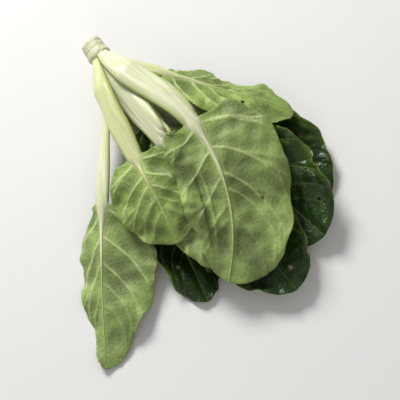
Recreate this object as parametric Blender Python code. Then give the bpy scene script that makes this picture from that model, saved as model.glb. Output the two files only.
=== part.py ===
"""One head of green-stemmed bok choy, cut at the root and lying on its side.

Metres, +Z up. The head's axis runs along +X, from the cut stem to the leaf tips, and the
surface that it lies on is z = 0. Each leaf is a fleshy pale stalk, which runs on as the
midrib, and a thin green blade over it. The stalks stand round the axis in nested layers,
as they grew. Beyond the bulb each leaf bends its own way, and from the lowest up each one
is laid over those under it.
"""

import math
from dataclasses import dataclass

import bpy
import numpy as np
from mathutils import Vector
from mathutils.bvhtree import BVHTree

MM = 0.001

# The bulb, where the swollen stalks stand round the axis
BULB_RADIUS = 16.5 * MM  # from the axis to the outermost stalk's inner face
LAYER_STEP = 1.45 * MM  # each stalk stands this much further in than the one before
BULB_RISE = 28 * MM  # from the neck to the bulb's full width
NECK_SHARE = 0.46  # the neck's width, as a share of the bulb's
AXIS_HEIGHT = 17.7 * MM

# The stem, cut just under the lowest leaves
STEM_RADIUS = 7.2 * MM
STEM_LENGTH = 10 * MM
ROOT_STEP = 1.0 * MM  # each leaf grows this much further up the stem than the one before

# Leaves
BLADE_THICKNESS = 0.8 * MM
GAP = 0.36 * MM  # between a stalk and its own blade
STALK_THICKNESS = 4.4 * MM
BLADE_START = 0.44  # the station where the blade begins

# Rows along a leaf and columns across it
STALK_ROWS = 9
BLADE_ROWS = 13
COLUMNS = 13
STALK_COLUMNS = 5
SPINE_STEPS = 240

# Laying one leaf over another
CLEARANCE = 1.3 * MM
STEEPEST = 2.0  # on a slope the clearance grows up to this many times
SAG = 16 * MM  # how far a leaf's tip sinks under its own weight onto what is below it
SETTLING = 2.0 * MM  # how far the stiff leaf presses into the waves of those below
FLATTENED = 0.55 * MM  # what lies this near the surface is pressed flat on it
NUDGE = 0.4 * MM  # how far a spot that still touches another leaf moves at a time
MOST_NUDGES = 40
BULB_END = 36 * MM  # nearer the root than this, a stalk moves to or from the axis instead

# Where a leaf takes its own heading, and where its blade turns over, as shares of its length
HEADING_SPAN = (0.02, 0.24)
TURNING_SPAN = (0.22, 0.60)
LOOSENED = (24 * MM, 60 * MM)  # where a leaf gets free to rise and sink, from its root

# The stalk's width and thickness along the leaf, as shares of the most
STATIONS = (0, 0.06, 0.15, 0.30, BLADE_START, 0.55, 0.70, 0.90, 1.0)
STALK_WIDTHS = (0.44, 0.66, 1.00, 0.92, 0.62, 0.32, 0.18, 0.10, 0.08)
STALK_DEPTHS = (0.36, 0.52, 1.00, 0.98, 0.80, 0.62, 0.42, 0.28, 0.24)
THINNING = 0.68  # how much thinner the heart leaf's stalk is than the outermost one's
TIP_ROUNDING = 0.35  # how far the blade's end is swept back, as a share of its width


@dataclass(frozen=True)
class Leaf:
    """How one leaf grew and how it lies. Angles are in degrees, lengths in metres."""

    turn: float  # where it stands round the axis: 0 on top, 90 on the +Y side
    length: float
    width: float
    stalk: float  # half the stalk's width where it is widest
    face: float  # where the blade's inner face looks: 0 up, 90 towards +Y, 180 down
    yaw: tuple  # the midrib's heading towards +Y where the blade starts, and at the tip
    pitch: tuple  # its rise above the horizontal at the same two places
    cup: tuple  # how far the -v and the +v margin rise towards the inner face, per half-width
    ruffle: float  # height of the waves along the margin
    waves: float  # how many of them along each margin
    widest: float = 0.45  # where the blade is widest, as a share of its length
    tip: float = 0.5  # the width of the blade's end, as a share of its greatest width
    lobes: float = 8 * MM  # how far the blade's base reaches back beside the stalk
    start: float = 0.44  # where the blade begins, as a share of the leaf's length
    halves: tuple = (1.0, 1.0)  # how wide the blade's -v and +v half is, as a share of half the width


# From the outermost to the heart, as they stand on the stem
LEAVES = (
    Leaf(14, 190 * MM, 76 * MM, 9.5 * MM, 172, (20, -48), (4, -24), (0.12, 0.18), 3.2 * MM, 2.1,
         widest=0.33, lobes=18 * MM, halves=(1.12, 0.84)),
    Leaf(145, 174 * MM, 76 * MM, 11 * MM, -16, (28, 19), (-4, 2), (0.10, 0.10), 3.5 * MM, 2.6),
    Leaf(-56, 140 * MM, 56 * MM, 8.5 * MM, 166, (-11, -4), (4, -24), (0.16, 0.16), 3.2 * MM, 2.9,
         start=0.55, halves=(0.8, 1.0)),
    Leaf(48, 130 * MM, 48 * MM, 8 * MM, 228, (42, 38), (8, -14), (0.20, 0.12), 3.0 * MM, 2.4,
         start=0.33),
    Leaf(-80, 200 * MM, 60 * MM, 7 * MM, 170, (-38, -28), (-2, -4), (0.10, 0.30), 2.6 * MM, 1.9,
         widest=0.36, tip=0.14, start=0.48, halves=(1.15, 0.5)),
    Leaf(-26, 166 * MM, 62 * MM, 8 * MM, 184, (3, -4), (4, -18), (0.10, 0.12), 2.4 * MM, 2.2),
    Leaf(105, 182 * MM, 74 * MM, 7 * MM, -22, (20, 12), (0, 4), (0.10, 0.12), 3.2 * MM, 2.5),
    Leaf(-160, 170 * MM, 50 * MM, 7 * MM, 8, (-12, -11), (-2, 4), (0.12, 0.10), 3.2 * MM, 2.7,
         tip=0.2),
    Leaf(30, 140 * MM, 48 * MM, 4.6 * MM, 196, (4, -4), (4, -8), (0.15, 0.15), 2.0 * MM, 2.1),
    Leaf(175, 192 * MM, 66 * MM, 5 * MM, 2, (8, 3), (0, 4), (0.12, 0.12), 3.2 * MM, 2.4),
    Leaf(-70, 112 * MM, 34 * MM, 3 * MM, -40, (-2, -6), (2, 8), (0.35, 0.35), 1.5 * MM, 1.8),
)


def ramp(low, high, x):
    """0 below low and 1 above high, smooth between them."""
    t = np.clip((x - low) / (high - low), 0.0, 1.0)
    return t * t * (3 - 2 * t)


def bulb_share(x):
    """How wide the bulb is at x along the axis, as a share of its full width."""
    return NECK_SHARE + (1 - NECK_SHARE) * ramp(0.0, BULB_RISE, x)


def age(index):
    """0 for the outermost leaf and 1 for the innermost."""
    return index / (len(LEAVES) - 1)


def layer_radius(index):
    return BULB_RADIUS - LAYER_STEP * index


def spine(index):
    """The leaf's centre line, from root to tip, and the frame that goes along it."""
    leaf = LEAVES[index]
    turn = math.radians(leaf.turn)
    outward = np.array([0.0, math.sin(turn), math.cos(turn)])
    radius = layer_radius(index)
    x = ROOT_STEP * index
    place = np.array([x, 0.0, AXIS_HEIGHT]) + outward * radius * bulb_share(x)
    s = np.linspace(0, 1, SPINE_STEPS + 1)
    stations = np.interp(s, (0, leaf.start, 1), (0, BLADE_START, 1))
    yaw = np.radians(heading(s, *leaf.yaw))
    pitch = np.radians(heading(s, *leaf.pitch))
    start_face = turn + math.pi
    swing = (math.radians(leaf.face) - start_face + math.pi) % (2 * math.pi) - math.pi
    face = start_face + swing * ramp(*TURNING_SPAN, s)
    step = leaf.length / SPINE_STEPS
    centres, alongs = [], []
    for i in range(len(s)):
        slope = (bulb_share(place[0] + step) - bulb_share(place[0])) / step
        along = np.array([1.0, math.tan(yaw[i]), math.tan(pitch[i])]) + outward * radius * slope
        along /= np.linalg.norm(along)
        centres.append(place)
        alongs.append(along)
        place = place + along * step
    centres, alongs = np.array(centres), np.array(alongs)
    inward = np.stack([np.zeros(len(s)), np.sin(face), np.cos(face)], axis=1)
    inward -= alongs * (inward * alongs).sum(1, keepdims=True)
    inward /= np.linalg.norm(inward, axis=1, keepdims=True)
    across = np.cross(inward, alongs)
    return {"s": stations, "centre": centres, "along": alongs, "across": across, "inward": inward}


def heading(s, early, late):
    """An angle that grows from 0 to early over the heading span, and to late at the tip."""
    t = np.clip((s - HEADING_SPAN[1]) / (1 - HEADING_SPAN[1]), 0, 1)
    return early * ramp(*HEADING_SPAN, s) + (late - early) * t**1.1


def stalk_half_width(index, s):
    """The stalk swells from the neck to the bulb, and narrows to the midrib."""
    return LEAVES[index].stalk * np.interp(s, STATIONS, STALK_WIDTHS)


def stalk_thickness(index, s):
    return STALK_THICKNESS * (1 - THINNING * age(index)) * np.interp(s, STATIONS, STALK_DEPTHS)


def blade_share(s):
    """How far along its blade a point is: 0 where the blade starts, 1 at the tip."""
    return np.clip((s - BLADE_START) / (1 - BLADE_START), 0, 1)


def half_width(index, s):
    """Half the leaf's width: the stalk's below the blade, and the blade's above."""
    leaf = LEAVES[index]
    q = blade_share(s)
    near = np.clip(1 - q / leaf.widest, 0, 1)
    far = np.clip((q - leaf.widest) / (1 - leaf.widest), 0, 1)
    share = np.sqrt(1 - near**2) - (1 - leaf.tip) * far**2.2
    start = stalk_half_width(index, BLADE_START)
    blade = start + (leaf.width / 2 - start) * share
    return np.where(s <= BLADE_START, stalk_half_width(index, s), blade)


def natural_surface(index, s, v, waved=1.0):
    """Points of the leaf's reference face, before it is laid over others.

    s is the share of the length and v the distance from the midrib. The stalk lies outside
    of this face, and the blade inside of it.
    """
    leaf = LEAVES[index]
    line = spine(index)

    def along_line(name):
        return np.stack([np.interp(s, line["s"], line[name][:, k]) for k in range(3)], axis=-1)

    centre, along, across, inward = map(along_line, ("centre", "along", "across", "inward"))
    width = half_width(index, s)
    edge = np.clip(v / width, -1, 1)
    q = blade_share(s)

    # One half of a blade may be narrower than the other
    v = v * (1 + (np.where(v < 0, *leaf.halves) - 1) * ramp(0.0, 0.08, q))

    # Round the axis in the bulb, and flatter above it
    reach = np.hypot(centre[..., 1], centre[..., 2] - AXIS_HEIGHT)
    bend = (1 - ramp(0.22, BLADE_START + 0.08, s)) / np.maximum(reach, 0.5 * MM)
    bend = np.maximum(bend, 1e-3)
    angle = np.clip(v * bend, -2.4, 2.4)
    side = np.sin(angle) / bend
    rise = (1 - np.cos(angle)) / bend

    # The blade's cup, the waves along its margin, and its base and tip
    in_blade = ramp(0.0, 0.22, q)
    cup = np.where(v < 0, *leaf.cup)
    rise = rise + in_blade * width * cup * edge**2
    phase = np.where(v < 0, 0.7, 2.9) + 1.9 * index
    wave = np.sin(2 * math.pi * leaf.waves * q + phase) * np.abs(edge) ** 2.2
    swell = np.sin(9.0 * q + 1.3 * index) * np.sin(2.2 * edge + 0.8 * index)
    rise = rise + waved * in_blade * leaf.ruffle * (wave + 0.35 * swell)
    back = leaf.lobes * ramp(0.0, 0.1, q) * (1 - q) ** 3 + TIP_ROUNDING * width * q**4
    back = back * edge**2
    return centre + across * side[..., None] + inward * rise[..., None] - along * back[..., None]


def rows_of():
    """Where the rows of a leaf's grid lie, as shares of its length."""
    stalk = np.linspace(0, 1, STALK_ROWS) ** 1.15 * BLADE_START
    j = np.linspace(0, 1, BLADE_ROWS)
    q = j - 0.075 * np.sin(2 * math.pi * j)
    return np.concatenate([stalk[:-1], BLADE_START + q * (1 - BLADE_START)])


def grid_triangles(rows, columns):
    """Two triangles for each cell, on the inner side, split outward from the midrib."""
    made = []
    for i in range(rows - 1):
        for j in range(columns - 1):
            a = i * columns + j
            b, c, d = a + 1, a + columns + 1, a + columns
            if j < columns // 2:
                made += [(a, c, b), (a, d, c)]
            else:
                made += [(a, d, b), (b, d, c)]
    return made


def grid_normals(grid):
    """Unit normals of a grid, on the leaf's inner side."""
    normal = np.cross(np.gradient(grid, axis=0), np.gradient(grid, axis=1))
    return normal / np.maximum(np.linalg.norm(normal, axis=-1, keepdims=True), 1e-12)


def finer(grid):
    """The grid with a point put halfway between each two."""
    for axis in (0, 1):
        count = grid.shape[axis]
        places = np.arange(2 * count - 1) / 2
        low = np.floor(places).astype(int)
        high = np.minimum(low + 1, count - 1)
        grid = (np.take(grid, low, axis) + np.take(grid, high, axis)) / 2
    return grid


def highest_nearby(field):
    """For each point of the coarse grid, the most that the finer field has round it."""
    wide = np.pad(field, 1, mode="edge")
    rows, columns = field.shape
    near = [wide[i : i + rows, j : j + columns] for i in range(3) for j in range(3)]
    return np.max(near, axis=0)[::2, ::2]


def needed_lift(index, grid, trees):
    """How far each point must rise to clear what lies under it: less than 0 if it is clear."""
    s = rows_of()
    edge = np.abs(np.linspace(-1, 1, COLUMNS))[None, :]
    on_stalk = edge * half_width(index, s)[:, None] < stalk_half_width(index, s)[:, None] + MM
    normal_up = grid_normals(grid)[..., 2]
    thick = np.where(on_stalk, stalk_thickness(index, s)[:, None], 0.0)
    under = np.where(normal_up > 0, thick, BLADE_THICKNESS) + GAP / 2
    slope = np.minimum(STEEPEST, 1 / np.maximum(np.abs(normal_up), 1e-3))
    points, under, slope = finer(grid), finer(under), finer(slope)
    lift = under - points[..., 2]
    down = Vector((0, 0, -1))
    for i in range(points.shape[0]):
        for j in range(points.shape[1]):
            x, y, z = points[i, j]
            for tree in trees:
                hit = tree.ray_cast(Vector((x, y, 1.0)), down)[0]
                if hit is not None:
                    rise = hit.z + (CLEARANCE + under[i, j]) * slope[i, j] - z
                    lift[i, j] = max(lift[i, j], rise)
    return highest_nearby(lift)


def smooth_above(wanted, rounds, rooted=True):
    """A smooth field that is nowhere below the one wanted, and 0 at the root if rooted."""
    field = wanted.copy()
    for _ in range(rounds):
        wide = np.pad(field, 1, mode="edge")
        mean = (wide[:-2, 1:-1] + wide[2:, 1:-1] + wide[1:-1, :-2] + wide[1:-1, 2:]) / 4
        field = np.maximum(wanted, mean)
        if rooted:
            field[0] = 0.0
    return field


def laid_grid(index, trees):
    """The leaf's grid of reference points as it lies over those under it."""
    s = rows_of()
    v = np.linspace(-1, 1, COLUMNS)[None, :] * half_width(index, s)[:, None]
    rows = np.broadcast_to(s[:, None], v.shape)
    free = ramp(*LOOSENED, s * LEAVES[index].length)[:, None]
    grid = natural_surface(index, rows, v, waved=0.0)
    sag = -SAG * ramp(0.3, 1.0, s)[:, None]
    stiff = np.maximum(needed_lift(index, grid, trees) - SETTLING, sag) * free
    lift = smooth_above(stiff, 80)
    waved = natural_surface(index, rows, v)
    waved[..., 2] += lift
    soft = np.maximum(needed_lift(index, waved, trees), 0.0) * free
    waved[..., 2] += smooth_above(soft, 12)
    return waved


def touching_spots(solids, others):
    """Where the leaf's stalk or blade cuts into another leaf: its grid points, by leaf."""
    middle = COLUMNS // 2
    found = {}
    for solid, first_row, columns in zip(solids, (0, STALK_ROWS - 1), (STALK_COLUMNS, COLUMNS)):
        points, triangles = solid
        count = len(points) // 2
        own = tree_of(solid)
        for other, tree in others:
            for face, _ in own.overlap(tree):
                spots = found.setdefault(other, set())
                for corner in triangles[face]:
                    row, column = divmod(corner % count, columns)
                    if first_row:
                        spots.add((row + first_row, column))
                    elif row < STALK_ROWS:
                        spots |= {(row, k) for k in range(COLUMNS)}
                    else:
                        spots |= {(row, middle + k) for k in (-1, 0, 1)}
    return found


def lay(index, others):
    """The leaf's two solids, moved bit by bit where they still cut into other leaves.

    In the bulb a stalk moves away from the axis, or towards it from an older leaf. Above
    the bulb a spot moves up.
    """
    grid = laid_grid(index, [tree for _, tree in others])
    turn = math.radians(LEAVES[index].turn)
    outward = np.array([0.0, math.sin(turn), math.cos(turn)])
    in_bulb = rows_of() * LEAVES[index].length < BULB_END
    up, out, back = (np.zeros(grid.shape[:2]) for _ in range(3))
    sunk = np.zeros(grid.shape[0] - 1)
    for _ in range(MOST_NUDGES):
        moved = grid.copy()
        moved[..., 2] += smooth_above(up, 9)
        shift = smooth_above(out, 5, rooted=False) - smooth_above(back, 5, rooted=False)
        moved += shift[..., None] * outward
        solids = stalk_solid(index, moved, sunk), blade_solid(moved)
        found = touching_spots(solids, others)
        on_blade = touching_spots(solids[:1], [(index, tree_of(solids[1]))])
        if not found and not on_blade:
            break
        for row in {row for spots in on_blade.values() for row, _ in spots}:
            sunk[row] += GAP / 3
        for other, spots in found.items():
            for spot in spots:
                if not in_bulb[spot[0]]:
                    up[spot] += NUDGE
                elif other > index:
                    out[spot] += NUDGE
                else:
                    back[spot] += NUDGE
    else:
        print("leaf", index + 1, "still touches leaves", [other + 1 for other in found])
    return solids


def order_of_laying():
    """From the lowest up: under the axis the outer leaves come first, over it they come last."""
    return sorted(
        range(len(LEAVES)),
        key=lambda i: math.copysign(layer_radius(i), math.cos(math.radians(LEAVES[i].turn))),
    )


def closed_between(inner, outer):
    """The points and triangles of a closed solid between two grids of the same size."""
    rows, columns = inner.shape[:2]
    count = rows * columns
    face = grid_triangles(rows, columns)
    triangles = list(face) + [(c + count, b + count, a + count) for a, b, c in face]
    rim = (
        [(0, j) for j in range(columns)]
        + [(i, columns - 1) for i in range(1, rows)]
        + [(rows - 1, j) for j in range(columns - 2, -1, -1)]
        + [(i, 0) for i in range(rows - 2, 0, -1)]
    )
    ring = [i * columns + j for i, j in rim]
    for a, b in zip(ring, ring[1:] + ring[:1]):
        triangles += [(a, b, a + count), (b, b + count, a + count)]
    points = np.concatenate([inner.reshape(-1, 3), outer.reshape(-1, 3)])
    points[points[:, 2] < FLATTENED, 2] = 0.0
    return points.tolist(), triangles


def blade_solid(grid):
    """The thin green blade, on the inner side of the reference face."""
    part = grid[STALK_ROWS - 1 :]
    normal = grid_normals(grid)[STALK_ROWS - 1 :]
    outer = part + normal * GAP / 2
    inner = part + normal * (GAP / 2 + BLADE_THICKNESS)
    return closed_between(inner, outer)


def stalk_solid(index, grid, sunk):
    """The fleshy stalk, a crescent across, which runs on under the blade as the midrib.

    Its rows are the grid's own rows, so that it follows the blade's facets. The extra
    depth at which each row lies under the blade is sunk.
    """
    s = rows_of()
    normal = grid_normals(grid)
    share = stalk_half_width(index, s) / half_width(index, s)
    edge = np.linspace(-1, 1, STALK_COLUMNS)
    places = np.linspace(-1, 1, COLUMNS)

    def across_rows(values, wanted):
        return np.array([
            [[np.interp(e * share[i], places, values[i, :, k]) for k in range(3)] for e in wanted]
            for i in range(len(s) - 1)
        ])

    face, away = across_rows(grid, edge), across_rows(normal, edge)
    between = np.linspace(-1, 1, 8 * (STALK_COLUMNS - 1) + 1)
    curve, up = across_rows(grid, between), across_rows(normal, between)
    chord = np.array([
        [[np.interp(e, edge, row[:, k]) for k in range(3)] for e in between] for row in face
    ])
    sink = (np.max(((chord - curve) * up).sum(-1), axis=1) + sunk)[:, None, None]
    depth = stalk_thickness(index, s[:-1])[:, None] * np.sqrt(1 - 0.9 * edge[None, :] ** 2)
    inner = face - away * (GAP / 2 + sink)
    outer = inner - away * depth[..., None]
    return closed_between(inner, outer)


def material(name, colour, roughness):
    made = bpy.data.materials.new(name)
    made.use_nodes = True
    shader = made.node_tree.nodes["Principled BSDF"]
    shader.inputs["Base Color"].default_value = (*colour, 1)
    shader.inputs["Roughness"].default_value = roughness
    shader.inputs["Metallic"].default_value = 0.0
    return made


def tree_of(solid):
    return BVHTree.FromPolygons(*solid)


def add_object(name, solid, finish):
    mesh = bpy.data.meshes.new(name)
    mesh.from_pydata(solid[0], [], solid[1])
    mesh.update()
    mesh.materials.append(finish)
    made = bpy.data.objects.new(name, mesh)
    bpy.context.scene.collection.objects.link(made)
    return made


def stem(finish):
    """The stub of stem that the leaves grow from, with a cone inside the bulb."""
    sides = 20
    profile = [
        (-STEM_LENGTH, 0.86 * STEM_RADIUS),
        (-STEM_LENGTH + 1.2 * MM, 0.95 * STEM_RADIUS),
        (-0.6 * STEM_LENGTH, 0.93 * STEM_RADIUS),
        (-0.25 * STEM_LENGTH, STEM_RADIUS),
        (-1.0 * MM, STEM_RADIUS),
    ]
    for index in range(len(LEAVES) - 1):
        x = ROOT_STEP * (index + 0.5)
        room = layer_radius(index + 1) * bulb_share(x) - 0.6 * MM
        if room > 1.0 * MM:
            profile.append((x - ROOT_STEP * 0.9, room))
    tip_x = profile[-1][0] + 1.5 * MM
    points, triangles = [(-STEM_LENGTH, 0.0, AXIS_HEIGHT)], []
    for x, radius in profile:
        for k in range(sides):
            a = 2 * math.pi * k / sides
            points.append((x, radius * math.sin(a), AXIS_HEIGHT + radius * math.cos(a)))
    points.append((tip_x, 0.0, AXIS_HEIGHT))
    last = len(points) - 1
    for k in range(sides):
        n = (k + 1) % sides
        triangles.append((0, 1 + k, 1 + n))
        for ring in range(len(profile) - 1):
            a, b = 1 + ring * sides + k, 1 + ring * sides + n
            triangles += [(a, a + sides, b), (b, a + sides, b + sides)]
        start = 1 + (len(profile) - 1) * sides
        triangles.append((start + k, last, start + n))
    return add_object("stem", (points, triangles), finish)


def clear_scene():
    for old in list(bpy.data.objects):
        bpy.data.objects.remove(old)


def centre_on_origin(objects):
    """Moves the head sideways, so that the origin is under the middle of its box."""
    points = np.array([v.co for o in objects for v in o.data.vertices])
    middle = (points.min(0) + points.max(0)) / 2
    for o in objects:
        o.location = (-middle[0], -middle[1], 0.0)


def main():
    clear_scene()
    pale = material("stalk", (0.70, 0.76, 0.42), 0.42)
    green = material("blade", (0.075, 0.19, 0.03), 0.38)
    cut = material("stem", (0.62, 0.66, 0.36), 0.6)
    made = [stem(cut)]
    others = []
    for index in order_of_laying():
        solids = lay(index, others)
        others += [(index, tree_of(solid)) for solid in solids]
        name = f"leaf_{index + 1:02d}"
        made.append(add_object(name + "_stalk", solids[0], pale))
        made.append(add_object(name + "_blade", solids[1], green))
    centre_on_origin(made)


main()
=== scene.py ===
# %% [markdown]
# # A head of bok choy, lying on its side
#
# Bok choy is a rosette: a ring of fleshy pale stalks that stand on a short stem, each with a
# thin green blade at its end. This one was cut at the root and laid down, so its stalks fan
# out and its blades lie over one another like cards.
#
# The plan is the order in which the plant itself got its shape. First every leaf grows
# straight from the stem, curved round the axis. Then the leaves are laid down from the lowest
# up, each over those under it. Only then come the small forms that make it look alive: veins,
# puckers, a wavy margin, a few holes that insects ate. Colour and gloss come last.

import math
from dataclasses import dataclass

import bpy
import numpy as np
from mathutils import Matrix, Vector
from mathutils.bvhtree import BVHTree


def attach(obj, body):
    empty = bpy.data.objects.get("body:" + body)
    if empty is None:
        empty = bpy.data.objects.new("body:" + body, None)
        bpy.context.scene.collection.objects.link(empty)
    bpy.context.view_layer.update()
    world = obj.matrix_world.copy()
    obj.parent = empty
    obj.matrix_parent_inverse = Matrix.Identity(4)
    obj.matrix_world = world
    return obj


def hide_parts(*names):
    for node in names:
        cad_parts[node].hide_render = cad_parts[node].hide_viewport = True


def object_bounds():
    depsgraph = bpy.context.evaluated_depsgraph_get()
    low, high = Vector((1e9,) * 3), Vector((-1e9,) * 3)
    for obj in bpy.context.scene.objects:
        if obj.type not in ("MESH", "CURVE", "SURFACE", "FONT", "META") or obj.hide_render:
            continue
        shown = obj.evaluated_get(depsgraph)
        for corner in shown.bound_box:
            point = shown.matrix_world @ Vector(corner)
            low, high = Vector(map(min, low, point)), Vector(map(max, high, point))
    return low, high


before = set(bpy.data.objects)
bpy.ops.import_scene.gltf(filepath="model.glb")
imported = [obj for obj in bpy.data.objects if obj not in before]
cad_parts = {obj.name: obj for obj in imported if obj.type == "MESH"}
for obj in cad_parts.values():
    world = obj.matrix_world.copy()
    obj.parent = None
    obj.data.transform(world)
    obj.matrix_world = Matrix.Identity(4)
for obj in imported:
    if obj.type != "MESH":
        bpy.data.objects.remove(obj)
CAD_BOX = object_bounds()
print("solids:", len(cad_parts), " box:", CAD_BOX)

# %% [markdown]
# ## The camera
#
# The head is seen from almost straight above, with its root end at the upper left and its
# leaves to the lower right. A long lens keeps the near leaves from looking too big. The
# camera comes first, because it decides which leaves have to bear a close look.

# %% Camera
MM = 0.001
TURNED = math.radians(56)
RAISED = math.radians(72)
FAR = 0.95
LENS = 136


def in_scene(name, data):
    """A new object of this name and data, linked into the scene."""
    made = bpy.data.objects.new(name, data)
    bpy.context.scene.collection.objects.link(made)
    return made


def place_camera(target):
    level = math.cos(RAISED)
    towards = Vector((math.sin(TURNED) * level, -math.cos(TURNED) * level, math.sin(RAISED)))
    lens = bpy.data.cameras.new("camera")
    lens.lens = LENS
    camera = in_scene("camera", lens)
    camera.location = Vector(target) + towards * FAR
    camera.rotation_euler = towards.to_track_quat("Z", "Y").to_euler()
    bpy.context.scene.camera = camera
    return camera


camera = place_camera((0.025, 0.008, 0.020))
print("camera at", [round(c, 3) for c in camera.location])

# %% [markdown]
# ## How each leaf grew
#
# The stalks stand round the axis in nested layers, the oldest outside. Each leaf is
# described by where it stands, how long and wide it is, which way its inner face turns once
# it lies down, and how its midrib heads and droops. A table of eleven leaves is easier to
# tune than eleven models, and every leaf comes out of the same rules.

# %% The leaf table
BULB_RADIUS = 16.5 * MM
LAYER_STEP = 1.45 * MM
BULB_RISE = 28 * MM
NECK_SHARE = 0.46
AXIS_HEIGHT = 17.7 * MM
STEM_LENGTH = 10 * MM
ROOT_STEP = 1.0 * MM
BLADE_THICKNESS = 0.8 * MM
GAP = 0.36 * MM
STALK_THICKNESS = 4.4 * MM
BLADE_START = 0.44
HEADING_SPAN = (0.02, 0.24)
TURNING_SPAN = (0.22, 0.60)
STATIONS = (0, 0.06, 0.15, 0.30, BLADE_START, 0.55, 0.70, 0.90, 1.0)
STALK_WIDTHS = (0.44, 0.66, 1.00, 0.92, 0.62, 0.32, 0.18, 0.10, 0.08)
STALK_DEPTHS = (0.36, 0.52, 1.00, 0.98, 0.80, 0.62, 0.42, 0.28, 0.24)
THINNING = 0.68
TIP_ROUNDING = 0.35
MOST_CURL = 2.4  # radians that a stalk may curl round the axis on either side


@dataclass(frozen=True)
class Leaf:
    """Angles in degrees, lengths in metres. A turn of 0 is on top; a face of 0 looks up."""

    turn: float
    length: float
    width: float
    stalk: float
    face: float
    yaw: tuple
    pitch: tuple
    cup: tuple
    ruffle: float
    waves: float
    widest: float = 0.45
    tip: float = 0.5
    lobes: float = 8 * MM
    start: float = 0.44
    halves: tuple = (1.0, 1.0)


LEAVES = (
    Leaf(14, 190 * MM, 76 * MM, 9.5 * MM, 172, (20, -48), (4, -24), (0.12, 0.18), 3.2 * MM, 2.1,
         widest=0.33, lobes=18 * MM, halves=(1.12, 0.84)),
    Leaf(145, 174 * MM, 76 * MM, 11 * MM, -16, (28, 19), (-4, 2), (0.10, 0.10), 3.5 * MM, 2.6),
    Leaf(-56, 140 * MM, 56 * MM, 8.5 * MM, 166, (-11, -4), (4, -24), (0.16, 0.16), 3.2 * MM, 2.9,
         start=0.55, halves=(0.8, 1.0)),
    Leaf(48, 130 * MM, 48 * MM, 8 * MM, 228, (42, 38), (8, -14), (0.20, 0.12), 3.0 * MM, 2.4,
         start=0.33),
    Leaf(-80, 200 * MM, 60 * MM, 7 * MM, 170, (-38, -28), (-2, -4), (0.10, 0.30), 2.6 * MM, 1.9,
         widest=0.36, tip=0.14, start=0.48, halves=(1.15, 0.5)),
    Leaf(-26, 166 * MM, 62 * MM, 8 * MM, 184, (3, -4), (4, -18), (0.10, 0.12), 2.4 * MM, 2.2),
    Leaf(105, 182 * MM, 74 * MM, 7 * MM, -22, (20, 12), (0, 4), (0.10, 0.12), 3.2 * MM, 2.5),
    Leaf(-160, 170 * MM, 50 * MM, 7 * MM, 8, (-12, -11), (-2, 4), (0.12, 0.10), 3.2 * MM, 2.7,
         tip=0.2),
    Leaf(30, 140 * MM, 48 * MM, 4.6 * MM, 196, (4, -4), (4, -8), (0.15, 0.15), 2.0 * MM, 2.1),
    Leaf(175, 192 * MM, 66 * MM, 5 * MM, 2, (8, 3), (0, 4), (0.12, 0.12), 3.2 * MM, 2.4),
    Leaf(-70, 112 * MM, 34 * MM, 3 * MM, -40, (-2, -6), (2, 8), (0.35, 0.35), 1.5 * MM, 1.8),
)

# %% Widths, thickness and the midrib's line


def ramp(low, high, x):
    """0 below low and 1 above high, smooth between them."""
    t = np.clip((x - low) / (high - low), 0.0, 1.0)
    return t * t * (3 - 2 * t)


def bulb_share(x):
    return NECK_SHARE + (1 - NECK_SHARE) * ramp(0.0, BULB_RISE, x)


def layer_radius(index):
    return BULB_RADIUS - LAYER_STEP * index


def heading(s, early, late):
    """An angle that grows from 0 to early over the heading span, and to late at the tip."""
    t = np.clip((s - HEADING_SPAN[1]) / (1 - HEADING_SPAN[1]), 0, 1)
    return early * ramp(*HEADING_SPAN, s) + (late - early) * t**1.1


def spine(index, steps=240):
    """The leaf's centre line, from root to tip, and the frame that goes along it."""
    leaf = LEAVES[index]
    turn = math.radians(leaf.turn)
    outward = np.array([0.0, math.sin(turn), math.cos(turn)])
    radius = layer_radius(index)
    x = ROOT_STEP * index
    place = np.array([x, 0.0, AXIS_HEIGHT]) + outward * radius * bulb_share(x)
    s = np.linspace(0, 1, steps + 1)
    stations = np.interp(s, (0, leaf.start, 1), (0, BLADE_START, 1))
    yaw = np.radians(heading(s, *leaf.yaw))
    pitch = np.radians(heading(s, *leaf.pitch))
    start_face = turn + math.pi
    swing = (math.radians(leaf.face) - start_face + math.pi) % (2 * math.pi) - math.pi
    face = start_face + swing * ramp(*TURNING_SPAN, s)
    step = leaf.length / steps
    centres, alongs = [], []
    for i in range(len(s)):
        slope = (bulb_share(place[0] + step) - bulb_share(place[0])) / step
        along = np.array([1.0, math.tan(yaw[i]), math.tan(pitch[i])]) + outward * radius * slope
        along /= np.linalg.norm(along)
        centres.append(place)
        alongs.append(along)
        place = place + along * step
    centres, alongs = np.array(centres), np.array(alongs)
    inward = np.stack([np.zeros(len(s)), np.sin(face), np.cos(face)], axis=1)
    inward -= alongs * (inward * alongs).sum(1, keepdims=True)
    inward /= np.linalg.norm(inward, axis=1, keepdims=True)
    across = np.cross(inward, alongs)
    return {"s": stations, "centre": centres, "along": alongs, "across": across, "inward": inward}


def stalk_half_width(index, s):
    return LEAVES[index].stalk * np.interp(s, STATIONS, STALK_WIDTHS)


def stalk_thickness(index, s):
    age = index / (len(LEAVES) - 1)
    return STALK_THICKNESS * (1 - THINNING * age) * np.interp(s, STATIONS, STALK_DEPTHS)


def blade_share(s):
    return np.clip((s - BLADE_START) / (1 - BLADE_START), 0, 1)


def half_width(index, s):
    """Half the leaf's width: the stalk's below the blade, and the blade's above."""
    leaf = LEAVES[index]
    q = blade_share(s)
    near = np.clip(1 - q / leaf.widest, 0, 1)
    far = np.clip((q - leaf.widest) / (1 - leaf.widest), 0, 1)
    share = np.sqrt(1 - near**2) - (1 - leaf.tip) * far**2.2
    start = stalk_half_width(index, BLADE_START)
    blade = start + (leaf.width / 2 - start) * share
    return np.where(s <= BLADE_START, stalk_half_width(index, s), blade)


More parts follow.
